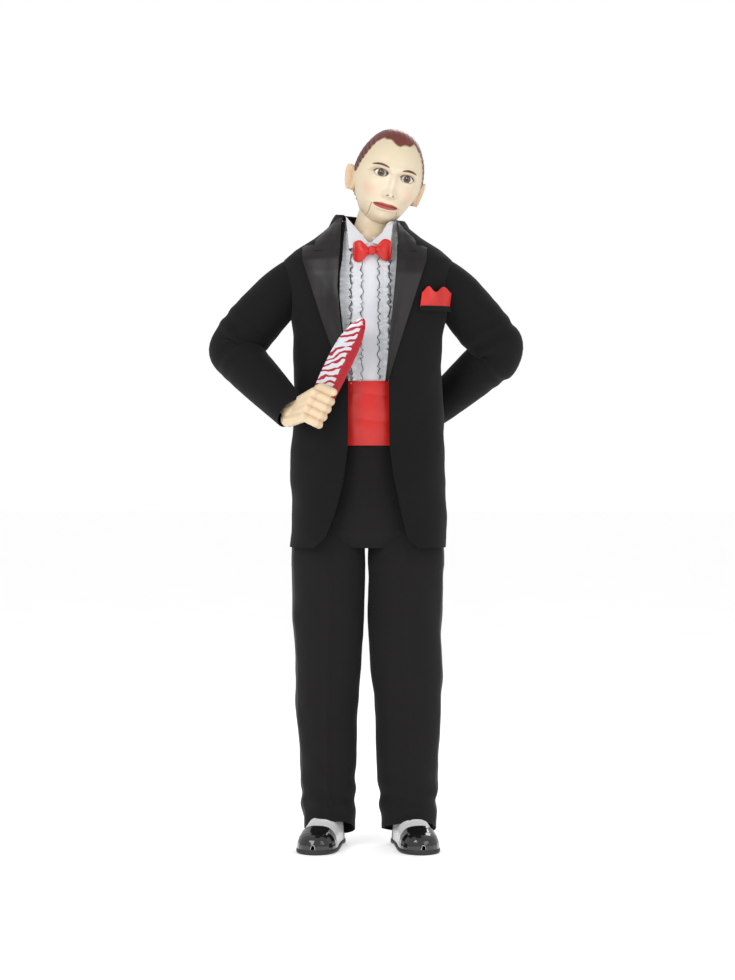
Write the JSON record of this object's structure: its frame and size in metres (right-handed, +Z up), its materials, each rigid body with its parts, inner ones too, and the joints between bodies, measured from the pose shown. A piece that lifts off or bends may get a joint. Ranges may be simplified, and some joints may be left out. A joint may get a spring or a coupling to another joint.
{
  "type": "ventriloquist dummy",
  "caption": "Standing ventriloquist figure in a dinner suit, with turning head, slot jaw, moving eyes, jointed limbs and a toy knife; worked by a hand in its back.",
  "frame": {"origin": "on the floor, under the middle of the figure's bounding box", "axes": "+Z up, the figure faces -Y, +X is the figure's own left"},
  "size_m": [0.434, 0.2408, 1.0672],
  "materials": {
    "body_shell": "papier-mache over wood, sealed, satin",
    "plain_wood": "sanded, oiled",
    "steel": "satin",
    "brass": "satin",
    "flesh_paint": "hand painted, satin",
    "hair_paint": "hand painted, semi-gloss",
    "eye_paint": "painted, glossy",
    "shirt_cloth": "satin and lace weave",
    "red_satin": "satin weave, shiny",
    "jacket_cloth": "matt twill",
    "lapel_satin": "satin weave, shiny",
    "trouser_cloth": "matt twill",
    "toy_blade": "silver-white, glossy",
    "dark_wood": "varnished",
    "shoe_white": "smooth, semi-gloss",
    "shoe_black": "patent, glossy",
    "sole_rubber": "matt"
  },
  "bodies": {
    "torso": {"torso_front_shell": "body_shell", "torso_back_shell": "body_shell", "shoulder_bolts": "steel", "shoulder_board": "plain_wood", "base_board": "plain_wood", "shirt_front": "shirt_cloth", "cummerbund": "red_satin", "trouser_seat": "trouser_cloth", "shirt_collar": "shirt_cloth", "bow_tie": "red_satin", "jacket_body": "jacket_cloth", "jacket_lapels": "lapel_satin", "pocket_square": "red_satin", "hip_brackets": "plain_wood", "hip_pins": "steel"},
    "head": {"neck": "flesh_paint", "headstick": "plain_wood", "head_shell": "flesh_paint", "head_rear_cover": "hair_paint", "jaw_axle": "steel", "eye_plates": "plain_wood", "lever_block": "plain_wood", "mechanism_pins": "steel"},
    "jaw": {"jaw": "flesh_paint"},
    "eye_right": {"eye_right": "eye_paint"},
    "eye_left": {"eye_left": "eye_paint"},
    "jaw_lever": {"jaw_lever": "brass"},
    "eye_lever": {"eye_lever": "brass"},
    "upper_arm_right": {"upper_arm_right": "plain_wood", "elbow_pin_right": "steel", "sleeve_upper_right": "jacket_cloth"},
    "forearm_right": {"forearm_right": "plain_wood", "hand_right": "flesh_paint", "sleeve_lower_right": "jacket_cloth", "knife_blade": "toy_blade", "knife_handle": "dark_wood"},
    "thigh_right": {"thigh_right": "plain_wood", "knee_pin_right": "steel", "trouser_thigh_right": "trouser_cloth"},
    "shin_right": {"shin_right": "plain_wood", "trouser_shin_right": "trouser_cloth", "shoe_sole_right": "sole_rubber", "shoe_upper_right": "shoe_white", "shoe_toe_cap_right": "shoe_black"},
    "upper_arm_left": {"upper_arm_left": "plain_wood", "elbow_pin_left": "steel", "sleeve_upper_left": "jacket_cloth"},
    "forearm_left": {"forearm_left": "plain_wood", "hand_left": "flesh_paint", "sleeve_lower_left": "jacket_cloth"},
    "thigh_left": {"thigh_left": "plain_wood", "knee_pin_left": "steel", "trouser_thigh_left": "trouser_cloth"},
    "shin_left": {"shin_left": "plain_wood", "trouser_shin_left": "trouser_cloth", "shoe_sole_left": "sole_rubber", "shoe_upper_left": "shoe_white", "shoe_toe_cap_left": "shoe_black"}
  },
  "joints": [
    {"name": "head_turn", "type": "hinge", "parent": "torso", "child": "head", "pos_m": [0.00298, -0.00532, 0.885], "axis": [0.2419, 0, 0.9703], "range_deg": [-60, 60]},
    {"name": "jaw_drop", "type": "hinge", "parent": "head", "child": "jaw", "pos_m": [0.02426, -0.00532, 0.97039], "axis": [0.9556, 0.1736, -0.2382], "range_deg": [0, 14]},
    {"name": "jaw_lever_pull", "type": "hinge", "parent": "head", "child": "jaw_lever", "pos_m": [-0.02151, 0.0134, 0.80041], "axis": [-0.9556, -0.1736, 0.2382], "range_deg": [0, 20]},
    {"name": "eye_right_turn", "type": "hinge", "parent": "head", "child": "eye_right", "pos_m": [0.02016, -0.05901, 0.99872], "axis": [0.2419, 0, 0.9703], "range_deg": [-18, 18]},
    {"name": "eye_left_turn", "type": "hinge", "parent": "head", "child": "eye_left", "pos_m": [0.05838, -0.05207, 0.98919], "axis": [0.2419, 0, 0.9703], "range_deg": [-18, 18]},
    {"name": "eye_lever_swing", "type": "hinge", "parent": "head", "child": "eye_lever", "pos_m": [-0.02732, 0.0134, 0.77712], "axis": [0.2419, 0, 0.9703], "range_deg": [-18, 18]},
    {"name": "shoulder_right", "type": "hinge", "parent": "torso", "child": "upper_arm_right", "pos_m": [-0.10702, -0.00532, 0.852], "axis": [-1, 0, 0], "range_deg": [0, 50]},
    {"name": "elbow_right", "type": "hinge", "parent": "upper_arm_right", "child": "forearm_right", "pos_m": [-0.20165, 0.00475, 0.74127], "axis": [0.4401, 0.8466, -0.2991], "range_deg": [0, 70]},
    {"name": "shoulder_left", "type": "hinge", "parent": "torso", "child": "upper_arm_left", "pos_m": [0.11298, -0.00532, 0.852], "axis": [1, 0, 0], "range_deg": [0, 30]},
    {"name": "elbow_left", "type": "hinge", "parent": "upper_arm_left", "child": "forearm_left", "pos_m": [0.20304, 0.01646, 0.73917], "axis": [-0.2721, -0.8809, -0.3872], "range_deg": [0, 70]},
    {"name": "hip_right", "type": "hinge", "parent": "torso", "child": "thigh_right", "pos_m": [-0.05502, -0.00532, 0.47], "axis": [-1, 0, 0], "range_deg": [-10, 80]},
    {"name": "knee_right", "type": "hinge", "parent": "thigh_right", "child": "shin_right", "pos_m": [-0.05502, -0.00532, 0.245], "axis": [1, 0, 0], "range_deg": [0, 90]},
    {"name": "hip_left", "type": "hinge", "parent": "torso", "child": "thigh_left", "pos_m": [0.06098, -0.00532, 0.47], "axis": [-1, 0, 0], "range_deg": [-10, 80]},
    {"name": "knee_left", "type": "hinge", "parent": "thigh_left", "child": "shin_left", "pos_m": [0.06098, -0.00532, 0.245], "axis": [1, 0, 0], "range_deg": [0, 90]}
  ],
  "couplings": [
    {"joint": "jaw_drop", "follows": "jaw_lever_pull", "ratio": 0.7},
    {"joint": "eye_right_turn", "follows": "eye_lever_swing", "ratio": 1},
    {"joint": "eye_left_turn", "follows": "eye_lever_swing", "ratio": 1}
  ]
}
